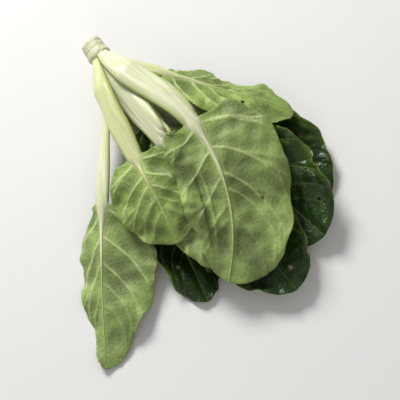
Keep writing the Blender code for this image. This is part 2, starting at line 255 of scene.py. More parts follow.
def own_half(index, q, side):
    """How wide this half of the blade is: one half may be narrower than the other."""
    return 1 + (np.where(side < 0, *LEAVES[index].halves) - 1) * ramp(0.0, 0.08, q)


def swept_back(index, s, edge):
    """How far a point lies behind its row's place on the midrib, at the blade's base and tip."""
    q = blade_share(s)
    base = LEAVES[index].lobes * ramp(0.0, 0.1, q) * (1 - q) ** 3
    return (base + TIP_ROUNDING * half_width(index, s) * q**4) * edge**2


def flat_place(index, s, edge):
    """Where a point is on the leaf pressed flat, in metres: along it, and across it."""
    leaf = LEAVES[index]
    along = np.interp(s, (0, BLADE_START, 1), (0, leaf.start, 1)) * leaf.length
    across = edge * half_width(index, s) * own_half(index, blade_share(s), edge)
    return np.stack([along - swept_back(index, s, edge), across], axis=-1)


def natural_surface(index, s, v, waved=1.0):
    """Points of the leaf's reference face before it is laid over others."""
    leaf = LEAVES[index]
    line = spine(index)

    def along_line(name):
        return np.stack([np.interp(s, line["s"], line[name][:, k]) for k in range(3)], axis=-1)

    centre, along, across, inward = map(along_line, ("centre", "along", "across", "inward"))
    width = half_width(index, s)
    edge = np.clip(v / width, -1, 1)
    q = blade_share(s)
    v = v * own_half(index, q, v)
    reach = np.hypot(centre[..., 1], centre[..., 2] - AXIS_HEIGHT)
    bend = (1 - ramp(0.22, BLADE_START + 0.08, s)) / np.maximum(reach, 0.5 * MM)
    bend = np.maximum(bend, 1e-3)
    angle = np.clip(v * bend, -MOST_CURL, MOST_CURL)
    side = np.sin(angle) / bend
    rise = (1 - np.cos(angle)) / bend
    in_blade = ramp(0.0, 0.22, q)
    cup = np.where(v < 0, leaf.cup[0], leaf.cup[1])
    rise = rise + in_blade * width * cup * edge**2
    phase = np.where(v < 0, 0.7, 2.9) + 1.9 * index
    wave = np.sin(2 * math.pi * leaf.waves * q + phase) * np.abs(edge) ** 2.2
    swell = np.sin(9.0 * q + 1.3 * index) * np.sin(2.2 * edge + 0.8 * index)
    rise = rise + waved * in_blade * leaf.ruffle * (wave + 0.35 * swell)
    back = swept_back(index, s, edge)
    return centre + across * side[..., None] + inward * rise[..., None] - along * back[..., None]


print("leaves:", len(LEAVES), " longest:", max(leaf.length for leaf in LEAVES))

# %% [markdown]
# ## Laying the leaves down
#
# A limp leaf takes its shape from what is under it. A cloth simulation could find that shape,
# but eleven touching sheets are slow and fickle to simulate. So each leaf is laid by rule, on
# a coarse grid: rays from above find the top of the heap, the leaf rises or sinks until it
# just clears it, and the rise is smoothed, as a stiff midrib would smooth it. Where a stalk or
# blade still cuts into another one, that spot moves on in small steps until it is clear.

# %% The coarse grid and its solids
STALK_ROWS, BLADE_ROWS, COLUMNS, STALK_COLUMNS = 9, 13, 13, 5
CLEARANCE = 1.3 * MM
STEEPEST = 2.0
SAG = 16 * MM
SETTLING = 2.0 * MM
FLATTENED = 0.55 * MM
NUDGE = 0.4 * MM
MOST_NUDGES = 40
BULB_END = 36 * MM
LOOSENED = (24 * MM, 60 * MM)


def rows_of():
    """Where the coarse rows lie, as shares of the leaf's length."""
    stalk = np.linspace(0, 1, STALK_ROWS) ** 1.15 * BLADE_START
    j = np.linspace(0, 1, BLADE_ROWS)
    q = j - 0.075 * np.sin(2 * math.pi * j)
    return np.concatenate([stalk[:-1], BLADE_START + q * (1 - BLADE_START)])


def grid_triangles(rows, columns):
    made = []
    for i in range(rows - 1):
        for j in range(columns - 1):
            a = i * columns + j
            b, c, d = a + 1, a + columns + 1, a + columns
            if j < columns // 2:
                made += [(a, c, b), (a, d, c)]
            else:
                made += [(a, d, b), (b, d, c)]
    return made


def grid_normals(grid):
    """Unit normals of a grid, on the leaf's inner side."""
    normal = np.cross(np.gradient(grid, axis=0), np.gradient(grid, axis=1))
    return normal / np.maximum(np.linalg.norm(normal, axis=-1, keepdims=True), 1e-12)


def closed_between(inner, outer):
    """The points and triangles of a closed solid between two grids of the same size."""
    rows, columns = inner.shape[:2]
    count = rows * columns
    face = grid_triangles(rows, columns)
    triangles = list(face) + [(c + count, b + count, a + count) for a, b, c in face]
    rim = (
        [(0, j) for j in range(columns)]
        + [(i, columns - 1) for i in range(1, rows)]
        + [(rows - 1, j) for j in range(columns - 2, -1, -1)]
        + [(i, 0) for i in range(rows - 2, 0, -1)]
    )
    ring = [i * columns + j for i, j in rim]
    for a, b in zip(ring, ring[1:] + ring[:1]):
        triangles += [(a, b, a + count), (b, b + count, a + count)]
    points = np.concatenate([inner.reshape(-1, 3), outer.reshape(-1, 3)])
    points[points[:, 2] < FLATTENED, 2] = 0.0
    return points.tolist(), triangles


def blade_solid(grid):
    part = grid[STALK_ROWS - 1 :]
    normal = grid_normals(grid)[STALK_ROWS - 1 :]
    return closed_between(part + normal * (GAP / 2 + BLADE_THICKNESS), part + normal * GAP / 2)


def stalk_solid(index, grid, sunk):
    s = rows_of()
    normal = grid_normals(grid)
    share = stalk_half_width(index, s) / half_width(index, s)
    edge = np.linspace(-1, 1, STALK_COLUMNS)
    places = np.linspace(-1, 1, COLUMNS)

    def across_rows(values, wanted):
        return np.array([
            [[np.interp(e * share[i], places, values[i, :, k]) for k in range(3)] for e in wanted]
            for i in range(len(s) - 1)
        ])

    face, away = across_rows(grid, edge), across_rows(normal, edge)
    between = np.linspace(-1, 1, 8 * (STALK_COLUMNS - 1) + 1)
    curve, up = across_rows(grid, between), across_rows(normal, between)
    chord = np.array([
        [[np.interp(e, edge, row[:, k]) for k in range(3)] for e in between] for row in face
    ])
    sink = (np.max(((chord - curve) * up).sum(-1), axis=1) + sunk)[:, None, None]
    depth = stalk_thickness(index, s[:-1])[:, None] * np.sqrt(1 - 0.9 * edge[None, :] ** 2)
    inner = face - away * (GAP / 2 + sink)
    return closed_between(inner, inner - away * depth[..., None])


print("coarse rows:", np.round(rows_of(), 2))

# %% Finding the heap and clearing it


def finer(grid):
    """The grid with a point put halfway between each two."""
    for axis in (0, 1):
        count = grid.shape[axis]
        places = np.arange(2 * count - 1) / 2
        low = np.floor(places).astype(int)
        high = np.minimum(low + 1, count - 1)
        grid = (np.take(grid, low, axis) + np.take(grid, high, axis)) / 2
    return grid


def highest_nearby(field):
    wide = np.pad(field, 1, mode="edge")
    rows, columns = field.shape
    near = [wide[i : i + rows, j : j + columns] for i in range(3) for j in range(3)]
    return np.max(near, axis=0)[::2, ::2]


def needed_lift(index, grid, trees):
    """How far each point must rise to clear what lies under it: less than 0 if it is clear."""
    s = rows_of()
    edge = np.abs(np.linspace(-1, 1, COLUMNS))[None, :]
    on_stalk = edge * half_width(index, s)[:, None] < stalk_half_width(index, s)[:, None] + MM
    normal_up = grid_normals(grid)[..., 2]
    thick = np.where(on_stalk, stalk_thickness(index, s)[:, None], 0.0)
    under = np.where(normal_up > 0, thick, BLADE_THICKNESS) + GAP / 2
    slope = np.minimum(STEEPEST, 1 / np.maximum(np.abs(normal_up), 1e-3))
    points, under, slope = finer(grid), finer(under), finer(slope)
    lift = under - points[..., 2]
    down = Vector((0, 0, -1))
    for i in range(points.shape[0]):
        for j in range(points.shape[1]):
            x, y, z = points[i, j]
            for tree in trees:
                hit = tree.ray_cast(Vector((x, y, 1.0)), down)[0]
                if hit is not None:
                    rise = hit.z + (CLEARANCE + under[i, j]) * slope[i, j] - z
                    lift[i, j] = max(lift[i, j], rise)
    return highest_nearby(lift)


def smooth_above(wanted, rounds, rooted=True):
    """A smooth field that is nowhere below the one wanted, and 0 at the root if rooted."""
    field = wanted.copy()
    for _ in range(rounds):
        wide = np.pad(field, 1, mode="edge")
        mean = (wide[:-2, 1:-1] + wide[2:, 1:-1] + wide[1:-1, :-2] + wide[1:-1, 2:]) / 4
        field = np.maximum(wanted, mean)
        if rooted:
            field[0] = 0.0
    return field


def laid_grid(index, trees):
    s = rows_of()
    v = np.linspace(-1, 1, COLUMNS)[None, :] * half_width(index, s)[:, None]
    rows = np.broadcast_to(s[:, None], v.shape)
    free = ramp(*LOOSENED, s * LEAVES[index].length)[:, None]
    grid = natural_surface(index, rows, v, waved=0.0)
    sag = -SAG * ramp(0.3, 1.0, s)[:, None]
    stiff = np.maximum(needed_lift(index, grid, trees) - SETTLING, sag) * free
    lift = smooth_above(stiff, 80)
    waved = natural_surface(index, rows, v)
    waved[..., 2] += lift
    soft = np.maximum(needed_lift(index, waved, trees), 0.0) * free
    waved[..., 2] += smooth_above(soft, 12)
    return waved


def touching_spots(solids, others):
    """Where the leaf's stalk or blade cuts into another leaf: its grid points, by leaf."""
    middle = COLUMNS // 2
    found = {}
    for solid, first_row, columns in zip(solids, (0, STALK_ROWS - 1), (STALK_COLUMNS, COLUMNS)):
        points, triangles = solid
        count = len(points) // 2
        own = BVHTree.FromPolygons(*solid)
        for other, tree in others:
            for face, _ in own.overlap(tree):
                spots = found.setdefault(other, set())
                for corner in triangles[face]:
                    row, column = divmod(corner % count, columns)
                    if first_row:
                        spots.add((row + first_row, column))
                    elif row < STALK_ROWS:
                        spots |= {(row, k) for k in range(COLUMNS)}
                    else:
                        spots |= {(row, middle + k) for k in (-1, 0, 1)}
    return found


def lay(index, others):
    """The leaf's coarse grid as it lies, and its two coarse solids."""
    grid = laid_grid(index, [tree for _, tree in others])
    turn = math.radians(LEAVES[index].turn)
    outward = np.array([0.0, math.sin(turn), math.cos(turn)])
    in_bulb = rows_of() * LEAVES[index].length < BULB_END
    up, out, back = (np.zeros(grid.shape[:2]) for _ in range(3))
    sunk = np.zeros(grid.shape[0] - 1)
    for _ in range(MOST_NUDGES):
        moved = grid.copy()
        moved[..., 2] += smooth_above(up, 9)
        shift = smooth_above(out, 5, rooted=False) - smooth_above(back, 5, rooted=False)
        moved += shift[..., None] * outward
        solids = stalk_solid(index, moved, sunk), blade_solid(moved)
        found = touching_spots(solids, others)
        on_blade = touching_spots(solids[:1], [(index, BVHTree.FromPolygons(*solids[1]))])
        if not found and not on_blade:
            break
        for row in {row for spots in on_blade.values() for row, _ in spots}:
            sunk[row] += GAP / 3
        for other, spots in found.items():
            for spot in spots:
                if not in_bulb[spot[0]]:
                    up[spot] += NUDGE
                elif other > index:
                    out[spot] += NUDGE
                else:
                    back[spot] += NUDGE
    return moved, solids


def order_of_laying():
    """From the lowest up: under the axis the outer leaves come first, over it they come last."""
    return sorted(
        range(len(LEAVES)),
        key=lambda i: math.copysign(layer_radius(i), math.cos(math.radians(LEAVES[i].turn))),
    )


laid, others, corners = {}, [], []
for index in order_of_laying():
    laid[index], solids = lay(index, others)
    others += [(index, BVHTree.FromPolygons(*solid)) for solid in solids]
    corners += solids[0][0] + solids[1][0]
print("heap height in mm:", round(max(p[2] for p in corners) * 1000, 1))

# %% Moving the head to the frame's own place
lowest, highest = np.array(CAD_BOX[0]), np.array(CAD_BOX[1])
stem_end = np.array([-STEM_LENGTH, 0.0, AXIS_HEIGHT])
reach = np.array(corners + [stem_end.tolist()])
OFFSET = np.array([lowest[0] - reach[:, 0].min(), lowest[1] - reach[:, 1].min(), 0.0])
left_over = reach.max(0)[:2] + OFFSET[:2] - highest[:2]
print("the fresh layout differs from the solids' box by", np.round(left_over * 1000, 3), "mm")

# %% [markdown]
# ## A fine leaf from a coarse one
#
# The coarse grid says where the leaf lies. The fine leaf is the same smooth surface read at
# far more points, with the laying shifts carried over by a cubic spline, so there are no
# facets. Onto it go the forms that an eye looks for: a margin that wanders and ripples,
# lateral veins that stand proud on the outer face and lie in grooves on the inner one, and
# puckers between them, because the tissue grows faster than its veins.

# %% Splines, soft noise and paths


def spline(knots, values, wanted):
    """A natural cubic spline through values at knots, read at the places wanted."""
    n = len(knots)
    h = np.diff(knots)
    system = np.zeros((n, n))
    system[0, 0] = system[-1, -1] = 1
    for i in range(1, n - 1):
        system[i, i - 1], system[i, i], system[i, i + 1] = h[i - 1], 2 * (h[i - 1] + h[i]), h[i]
    flat = values.reshape(n, -1)
    right = np.zeros_like(flat)
    right[1:-1] = 6 * ((flat[2:] - flat[1:-1]) / h[1:, None] - (flat[1:-1] - flat[:-2]) / h[:-1, None])
    bow = np.linalg.solve(system, right)
    k = np.clip(np.searchsorted(knots, wanted) - 1, 0, n - 2)
    t, u = (knots[k + 1] - wanted)[:, None], (wanted - knots[k])[:, None]
    w = h[k][:, None]
    made = (
        (bow[k] * t**3 + bow[k + 1] * u**3) / (6 * w)
        + (flat[k] / w - bow[k] * w / 6) * t
        + (flat[k + 1] / w - bow[k + 1] * w / 6) * u
    )
    return made.reshape((len(wanted),) + values.shape[1:])


def ripple(x, y, size, seed, count=7):
    """Smooth noise of about -1 to 1, whose bumps are size across."""
    dice = np.random.default_rng(seed)
    total = np.zeros(np.broadcast(x, y).shape)
    for _ in range(count):
        way, phase = dice.uniform(0, 2 * math.pi, 2)
        pace = 2 * math.pi / (size * dice.uniform(1.4, 2.6))
        total = total + np.sin(pace * (x * math.cos(way) + y * math.sin(way)) + phase)
    return total / math.sqrt(count)


def distance_to_path(x, y, path):
    """The distance from each point to a path, and how far along the path its foot is."""
    best = np.full(x.shape, 1.0)
    where = np.zeros(x.shape)
    for k, (a, b) in enumerate(zip(path, path[1:])):
        d = b - a
        t = np.clip(((x - a[0]) * d[0] + (y - a[1]) * d[1]) / max(d @ d, 1e-12), 0, 1)
        gap = np.hypot(x - a[0] - t * d[0], y - a[1] - t * d[1])
        nearer = gap < best
        best = np.where(nearer, gap, best)
        where = np.where(nearer, (k + t) / (len(path) - 1), where)
    return best, where


# %% [markdown]
# ### Veins
#
# A bok choy blade has a broad midrib and about five lateral veins on each side. The lowest are
# nearly as strong as the midrib's end. All of them bend towards the tip and fork before the
# margin. They are drawn as paths on the flat leaf, and every point of the leaf then knows how
# far it is from the nearest one.

# %% Vein paths
VEIN_PAIRS = 5
THINNEST_VEIN = 0.9 * MM
STRENGTHS = (1.0, 0.86, 0.68, 0.52, 0.40)  # of each pair of lateral veins, from the base up
FORKS, LAST_FORKS = (0.34, 0.58, 0.76), (0.5,)  # how far out a vein forks, and the last pair
REACHED = 0.93  # how near the margin a vein ends
VEINS_END = 0.985  # no vein goes on past this share of the blade


def vein_paths(index):
    """Paths on the flat leaf: a list of (points, width at the start, width at the end)."""
    dice = np.random.default_rng(100 + index)
    made = []

    def flat(q, edge):
        return flat_place(index, BLADE_START + q * (1 - BLADE_START), edge)

    for side in (-1, 1):
        for k in range(VEIN_PAIRS):
            start = 0.01 + 0.74 * (k / VEIN_PAIRS) ** 0.9 + 0.04 * (side > 0)
            start += dice.uniform(-0.03, 0.03) * (k > 0)
            climb = dice.uniform(0.16, 0.24) + 0.09 * min(k, 2)
            t = np.linspace(0, 1, 16)
            edge = REACHED * t
            q = start + climb * t**1.3 + 0.012 * np.sin(7 * t + dice.uniform(0, 6)) * t
            keep = q < VEINS_END
            strong = STRENGTHS[k]
            lateral = flat(q[keep], side * edge[keep])
            made.append((lateral, 0.95 * MM * strong, 0.34 * MM))
            for fork in FORKS if k < VEIN_PAIRS - 1 else LAST_FORKS:
                fork += dice.uniform(-0.05, 0.05)
                t = np.linspace(0, 1, 9)
                e = fork + (0.95 - fork) * t * dice.uniform(0.75, 1.0)
                at = start + climb * (fork / REACHED) ** 1.3
                q = at + dice.uniform(0.10, 0.17) * t**0.85
                keep = q < VEINS_END
                if keep.sum() > 2:
                    made.append((flat(q[keep], side * e[keep]), 0.55 * MM * strong, 0.26 * MM))
        t = np.linspace(0, 1, 9)
        e = 0.15 + 0.72 * t
        q = 0.03 - 0.012 * t
        made.append((flat(q, side * e), 0.45 * MM, 0.25 * MM))
    return made


def vein_field(index, x, y):
    """How strongly a vein shows at each point, from 0 to 1, and the distance to the nearest."""
    field = np.zeros(x.shape)
    nearest = np.full(x.shape, 30 * MM)
    for path, start, end in vein_paths(index):
        gap, along = distance_to_path(x, y, path)
        width = np.maximum(start + (end - start) * along, THINNEST_VEIN)
        shown = np.exp(-((gap / width) ** 2)) * (1 - 0.45 * along) * min(1, start / MM)
        field = np.maximum(field, shown)
        nearest = np.minimum(nearest, gap)
    return field, nearest


print("veins on leaf 1:", len(vein_paths(0)))

# %% [markdown]
# ### Holes and bites
#
# Beetles and caterpillars eat round holes between the veins and bites from the margin. Each
# is a real opening. The grid's own points near its edge are first drawn onto the edge, so that
# it comes out round, then the cells inside go, and a wall closes the cut between both faces.

# %% The insects' work
# By leaf, each hole's place along and across the blade, and its radius in millimetres
HOLES = {
    0: [(0.54, -0.51, 0.8)],
    1: [(0.50, 0.55, 1.3), (0.63, 0.72, 0.8), (0.55, -1.03, 3.4)],
    3: [(0.62, 0.35, 0.8), (0.78, 0.99, 2.4)],
    6: [(0.66, 0.30, 1.0), (0.84, 0.52, 1.5), (0.70, 1.02, 3.2)],
    7: [(0.72, -0.42, 0.9), (0.80, 0.42, 1.4), (0.66, -1.01, 2.6)],
    9: [(0.88, 0.25, 1.1), (0.80, -0.55, 0.8), (0.90, 1.02, 2.8)],
}


def wobbly_radius(radius, way, seed):
    """A hole's radius in the direction given: nearly round, a little lumpy."""
    dice = np.random.default_rng(seed)
    a, b = dice.uniform(0, 6.28, 2)
    return radius * (1 + 0.13 * np.sin(2 * way + a) + 0.10 * np.sin(3 * way + b))


def eaten(index, s, edge):
    """Moves the grid's points onto the holes' edges. Returns them and how deep in a hole each is.

    The depth is over 0 inside a hole and less than 0 outside, in metres.
    """
    leaf = LEAVES[index]
    depth = np.full(s.shape, -30 * MM)
    pace = leaf.length * (1 - leaf.start) / (1 - BLADE_START)
    for number, (q0, e0, radius) in enumerate(HOLES.get(index, [])):
        s0 = BLADE_START + q0 * (1 - BLADE_START)
        across = half_width(index, s0) * own_half(index, q0, e0)
        for _ in range(2):
            width = half_width(index, s) * own_half(index, blade_share(s), edge)
            dx, dy = (s - s0) * pace, edge * width - e0 * across
            far, way = np.hypot(dx, dy), np.arctan2(dy, dx)
            r = wobbly_radius(radius * MM, way, 31 * index + number)
            snap = (np.abs(far - r) < 0.55 * MM) & (np.abs(edge) < 0.999) & (s < 0.999)
            scale = r / np.maximum(far, 1e-9)
            s = np.where(snap, s0 + dx * scale / pace, s)
            width = half_width(index, s) * own_half(index, blade_share(s), edge)
            edge = np.where(snap, np.clip((e0 * across + dy * scale) / width, -1, 1), edge)
        depth = np.maximum(depth, np.where(snap, 0.0, r - far))
    return s, edge, depth


print("holes and bites:", sum(len(of_leaf) for of_leaf in HOLES.values()))

# %% [markdown]
# ### The fine grid
#
# A blade opens suddenly where its stalk ends, and an even grid would step across that place
# in two or three rows. So the rows crowd together there, and the inner columns follow the
# sides of the pale rib, so that no line of the grid crosses it at a slant. The rounded base
# and tip are in the grid itself, whose outer columns end where the blade does.

# %% The fine grid
FINE = {8: (130, 60), 10: (120, 50), 5: (180, 80)}  # rows and columns where a leaf hardly shows
USUAL_FINE = (240, 104)
ROWS_ON_STALK = 0.36
CROWDING = 1.5
COLUMNS_ON_BLADE = 0.84
BASE_ROUNDING = {4: 1.0}
USUAL_BASE_ROUNDING = 0.74
OPENING = (BLADE_START - 0.035, BLADE_START + 0.07)
RIB_NARROWS = (0.0, 0.16)


def fine_rows(count):
    """Rows along the leaf, closer together where the blade begins and widens fast."""
    t = np.linspace(0, 1, count)
    stalk, rest = t[t <= ROWS_ON_STALK], t[t > ROWS_ON_STALK]
    q = (rest - stalk[-1]) / (1 - stalk[-1])
    blade = BLADE_START + q**CROWDING * (1 - BLADE_START)
    return np.concatenate([stalk / stalk[-1] * BLADE_START, blade])


def steady_half_width(index, s):
    """The half width, but opening slowly from the stalk's to the blade's."""
    low, high = OPENING
    narrow, wide = half_width(index, low), half_width(index, high)
    opening = narrow + (wide - narrow) * ramp(low, high, s)
    return np.where((s > low) & (s < high), opening, half_width(index, s))


def rib_half_width(index, s):
    """Half the pale rib's width as it shows: it narrows fast where the blade begins."""
    q = blade_share(s)
    return stalk_half_width(index, s) * (1 - 0.48 * ramp(*RIB_NARROWS, q)) * (1 - 0.5 * q)


def fine_grid(index, rows, columns):
    """Shares along and across the leaf, for a grid whose inner columns follow the rib's sides."""
    s = fine_rows(rows)[:, None]
    u = np.linspace(-1, 1, columns)[None, :]
    q = blade_share(s)
    grown = 1 - np.clip(1 - q / LEAVES[index].widest, 0, 1) ** 2
    rounding = BASE_ROUNDING.get(index, USUAL_BASE_ROUNDING)
    inside = 1 - COLUMNS_ON_BLADE * grown**rounding
    start = stalk_half_width(index, BLADE_START)
    width = np.maximum(half_width(index, s), start)
    rounded = start + (width - start) * grown ** (rounding - 0.5)
    margin = np.where(s > BLADE_START, rounded / width, 1.0)
    rib = rib_half_width(index, s) / (half_width(index, s) * own_half(index, q, u))
    rib = np.minimum(rib, 0.999 * margin)
    out = rib + (margin - rib) * (np.abs(u) - inside) / np.maximum(1 - inside, 1e-6)
    share = np.where(np.abs(u) <= inside, rib * np.abs(u) / inside, out)
    edge = np.sign(u) * np.clip(share, 0, margin)
    # The last rows are drawn back towards the margins, so that the tip is round and not cut
    pace = LEAVES[index].length * (1 - LEAVES[index].start) / (1 - BLADE_START)
    reach = 0.5 * half_width(index, 1.0) * own_half(index, 1.0, edge)
    return s - reach * q**6 * (1 - np.sqrt(1 - 0.97 * edge**2)) / pace, edge


print("row where the blade begins:", int(np.argmax(fine_rows(USUAL_FINE[0]) > BLADE_START)))

# %% [markdown]
# ### The fine surface
#
# Now the fine grid gets its place in space, and then its forms, from the largest to the
# smallest: the wandering margin, puckers and folds along the surface's normal, and last the
# two faces. Each form is an amount in metres that fades out where the leaf has none of it.
# The same amounts are kept as masks, so that the colours will follow the shapes, and so that
# the hollows can be given painted shade.

# %% Reading the laid leaf
BRIDGED = (BLADE_START - 0.01, BLADE_START + 0.02)


def smooth_normals(grid, s_line):
    """Unit normals. Rows where the blade widens suddenly take theirs from the rows around."""
    normal = grid_normals(grid)
    first = np.searchsorted(s_line, BRIDGED[0]) - 1
    last = np.searchsorted(s_line, BRIDGED[1])
    share = (s_line[first : last + 1] - s_line[first]) / (s_line[last] - s_line[first])
    share = share[:, None, None]
    normal[first : last + 1] = normal[first] * (1 - share) + normal[last] * share
    return normal / np.linalg.norm(normal, axis=-1, keepdims=True)


def laying_shift(index, s, edge):
    """How far laying moved each point, from the coarse grid by splines both ways."""
    rows = rows_of()
    v = np.linspace(-1, 1, COLUMNS)[None, :] * half_width(index, rows)[:, None]
    shift = laid[index] - natural_surface(index, np.broadcast_to(rows[:, None], v.shape), v)
    shift = spline(rows, shift, s)
    return spline(np.linspace(-1, 1, COLUMNS), np.swapaxes(shift, 0, 1), edge).swapaxes(0, 1)


def read_between(grid, rows, columns, s, edge):
    """The grid's values at other places, linear between its points."""
    i = np.interp(s, rows, np.arange(len(rows)))
    j = np.interp(edge, columns, np.arange(len(columns)))
    i0 = np.clip(i.astype(int), 0, len(rows) - 2)
    j0 = np.clip(j.astype(int), 0, len(columns) - 2)
    a, b = (i - i0)[..., None], (j - j0)[..., None]
    return (
        grid[i0, j0] * (1 - a) * (1 - b) + grid[i0 + 1, j0] * a * (1 - b)
        + grid[i0, j0 + 1] * (1 - a) * b + grid[i0 + 1, j0 + 1] * a * b
    )


# %% The forms of the fine leaf
RIB_FADES = (0.16, 0.58)  # where along the blade the midrib's pale colour goes over to a vein's
# A soft fold in a blade: the edge at which it runs, and where along the blade it starts and ends
CREASES = {0: (0.43, 0.24, 0.90)}
CREASE_DEPTH = 2.1 * MM
VALLEY, RIDGE = (1.8, 2.2), (-1.4, 2.0)  # each one's middle and half width, in millimetres
MARGIN_TRIM, WANDER, FINE_WANDER = 0.7 * MM, 0.8 * MM, 0.16 * MM
PILLOW, PILLOW_REACH = 1.1 * MM, 2.6 * MM
SWELL, BLISTER = 0.8 * MM, 0.30 * MM
MARGIN_WAVE, MARGIN_FRILL = 1.5 * MM, 0.6 * MM
STALK_RIB, RIB_SPACING = 0.09, 0.62 * MM  # the first in millimetres
THIN_BLADE, BLADE_LIFT = 0.42 * MM, 0.22 * MM
VEIN_RELIEF, VEIN_GROOVE = 0.34 * MM, 0.16 * MM
PINCH, PINCH_REACH = 0.26, 9 * MM


def crease(index, q, edge, width):
    """The depth of the blade's soft fold: a ridge towards the midrib, and a valley beside it."""
    if index not in CREASES:
        return 0.0
    line, first, last = CREASES[index]
    aside = (edge - line) * width / MM
    present = ramp(first, first + 0.2, q) * (1 - ramp(last - 0.2, last, q))
    valley, ridge = (np.exp(-(((aside - at) / wide) ** 2)) for at, wide in (VALLEY, RIDGE))
    return CREASE_DEPTH * present * (valley - 0.6 * ridge)


def fine_leaf(index):
    """Both faces of the fine leaf, the masks that colour it, and which cells are eaten."""
    rows, columns = FINE.get(index, USUAL_FINE)
    s_line, e_line = fine_rows(rows), np.linspace(-1, 1, columns)
    s, edge = fine_grid(index, rows, columns)
    whole_shift = laying_shift(index, s_line, e_line)
    s, edge, depth = eaten(index, s, edge)
    width = half_width(index, s)
    steady = np.clip(edge * width / steady_half_width(index, s), -1, 1)
    shift = read_between(whole_shift, s_line, e_line, s, steady)
    q = blade_share(s)
    side = np.where(edge < 0, -1.0, 1.0)
    flat = flat_place(index, s, edge)
    x, y = flat[..., 0], flat[..., 1]
    in_blade, grown = ramp(0.0, 0.10, q), ramp(0.05, 0.20, q)

    def along_margin(apart, size, seed):
        """Noise that goes only along the leaf, and differs between its two sides."""
        return ripple(x, apart * side * MM, size * MM, seed + index)

    # The margin wanders in and out
    wander = -MARGIN_TRIM + WANDER * along_margin(40, 10, 7)
    wander += FINE_WANDER * along_margin(70, 3.6, 70)
    v = edge * width + side * np.abs(edge) ** 5 * grown * wander
    held = np.clip(v, -0.999 * width, 0.999 * width)
    centre = natural_surface(index, s, held) + shift
    sideways = np.gradient(centre, axis=1)
    sideways /= np.maximum(np.linalg.norm(sideways, axis=-1, keepdims=True), 1e-12)
    centre = centre + sideways * (v - held)[..., None]

    # Puckers between the veins, blisters, and ripples of the margin, along the normal
    vein, nearest = vein_field(index, x, y)
    rib = rib_half_width(index, s)
    middle = np.exp(-((np.abs(y) / (rib + 0.4 * MM)) ** 4))
    vein = vein * in_blade * (1 - middle)
    pucker = PILLOW * (1 - np.exp(-nearest / PILLOW_REACH))
    pucker += SWELL * ripple(x, y, 15 * MM, 31 + index) + BLISTER * ripple(x, y, 5.0 * MM, 17 + index)
    pucker += crease(index, q, edge, width)
    pucker *= 1 - np.exp(-((np.abs(y) / (rib + 3 * MM)) ** 2))
    ripples = grown * (
        MARGIN_WAVE * np.abs(edge) ** 3 * along_margin(50, 15, 19)
        + MARGIN_FRILL * np.abs(edge) ** 6 * along_margin(90, 6, 23)
    )
    normal = smooth_normals(centre, s_line)
    centre = centre + normal * (in_blade * pucker + ripples)[..., None]
    normal = smooth_normals(centre, s_line)

    # The stalk is a crescent, and runs on as a narrow ridge under the blade
    across = np.abs(y) / stalk_half_width(index, s)
    thin_edge = 0.93 + 0.055 * ramp(0.30, BLADE_START, s)
    crescent = np.sqrt(1 - thin_edge * np.clip(across, 0, 1) ** 2) * (1 - ramp(1.0, 1.4, across))
    ridge = (1 - np.clip(np.abs(y) / rib, 0, 1) ** 2) ** 1.1 * (1 - 0.35 * ramp(*RIB_NARROWS, q))
    swap = ramp(0.37, 0.50, s)
    body = stalk_thickness(index, s) * (crescent * (1 - swap) + ridge * swap)
    ribs = np.sin(y / RIB_SPACING + 1.1 * ripple(x, y, 22 * MM, 29 + index))
    ribs = ribs * (1 - swap) * STALK_RIB * MM * (1 - np.clip(across, 0, 1) ** 4)
    thin = THIN_BLADE * ramp(0.36, BLADE_START, s) * (1 - 0.5 * in_blade * np.abs(edge) ** 8)
    lift = BLADE_LIFT * in_blade
    outer = centre + normal * (lift - body - ribs - VEIN_RELIEF * vein)[..., None]
    inner = centre + normal * (lift + thin - VEIN_GROOVE * vein)[..., None]

    # The base of the stalk narrows into the stem
    x_now = (outer[..., 0] - ROOT_STEP * index) / PINCH_REACH
    pinch = 1 - PINCH * (1 - np.clip(x_now, 0, 1)) ** 2
    axis = np.array([0.0, 0.0, AXIS_HEIGHT])
    for face in (outer, inner):
        face[..., 1:] = axis[1:] + (face[..., 1:] - axis[1:]) * pinch[..., None]

    # Past the first third of the blade the midrib is no paler than a side vein
    fading = ramp(*RIB_FADES, q)
    masks = {
        "stalk": np.maximum(1 - ramp(0.405, BLADE_START, s), middle * (1 - 0.88 * fading)),
        "vein": np.maximum(vein, 0.60 * middle * fading * (1 - 0.45 * ramp(0.6, 1.0, q))),
        # How far the tissue bulges, from 0 to 1: the finish paints shade into the outer face's hollows by
        # it
        "relief": np.clip(0.5 + 0.5 * (pucker - 0.6 * MM) / (1.3 * MM), 0, 1) * in_blade,
        "margin": np.abs(edge) ** 12 * in_blade,
        "along": s,
        "across": edge,
        "wound": np.clip(1 + depth / (0.8 * MM), 0, 1),
    }
    gone = depth[:-1, :-1] + depth[1:, :-1] + depth[:-1, 1:] + depth[1:, 1:] > 0
    return inner + OFFSET, outer + OFFSET, masks, gone, flat


# %% [markdown]
# ### Settling the fine leaves
#
# The coarse leaves clear one another, but the bumps of the fine ones are new. So each fine
# leaf, from the lowest up, looks down with rays once more and rises where it would dip into
# a finished leaf below. Then its two faces are sewn together at the margin and at each hole.

# %% Fine leaves on one another
REACH_UP = 5 * MM
SPARE = 0.35 * MM


def raise_to_floor(points, least=0.05 * MM):
    """What would dip under the surface that the head lies on is pressed flat on it."""
    low = points[:, 2] < least
    points[low, 2] = least - 0.02 * (least - points[low, 2])
    return points


